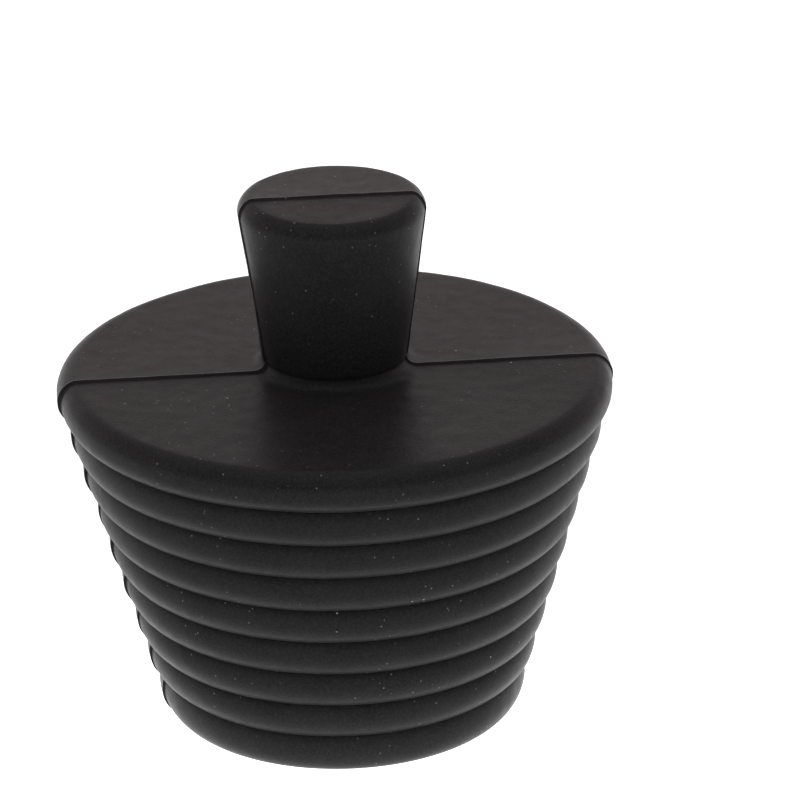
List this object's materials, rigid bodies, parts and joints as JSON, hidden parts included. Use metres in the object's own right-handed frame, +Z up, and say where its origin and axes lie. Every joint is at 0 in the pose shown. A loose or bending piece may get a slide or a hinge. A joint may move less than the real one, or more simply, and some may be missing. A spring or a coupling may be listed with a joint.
{
  "type": "drain stopper",
  "caption": "Tapered black rubber drain stopper with a flared pull knob, a round flange and stacked sealing ribs on a hollow plug.",
  "frame": {"origin": "centre of the foot of the plug, on the plane it rests on", "axes": "+Z up along the axis of the stopper, from the foot to the pull knob; the mould parting line runs close to the XZ plane"},
  "size_m": [0.045, 0.045, 0.0441],
  "materials": {
    "black_silicone": "matte moulded silicone with a fine grain"
  },
  "bodies": {
    "plug": {"top_flange": "black_silicone", "tapered_wall": "black_silicone", "sealing_rib_1": "black_silicone", "sealing_rib_2": "black_silicone", "sealing_rib_3": "black_silicone", "sealing_rib_4": "black_silicone", "sealing_rib_5": "black_silicone", "sealing_rib_6": "black_silicone", "sealing_rib_7": "black_silicone", "sealing_rib_8": "black_silicone"},
    "neck": {"knob_neck": "black_silicone"},
    "knob": {"pull_knob": "black_silicone"}
  },
  "joints": [
    {"name": "knob_lean_front_back", "type": "hinge", "parent": "plug", "child": "neck", "pos_m": [0, 0, 0.0333], "axis": [1, 0, 0], "range_deg": [-15, 15], "stiffness_Nm_per_rad": 0.35, "deforming": ["knob_neck"]},
    {"name": "knob_lean_left_right", "type": "hinge", "parent": "neck", "child": "knob", "pos_m": [0, 0, 0.0333], "axis": [0, 1, 0], "range_deg": [-15, 15], "stiffness_Nm_per_rad": 0.35, "deforming": ["knob_neck"]}
  ]
}
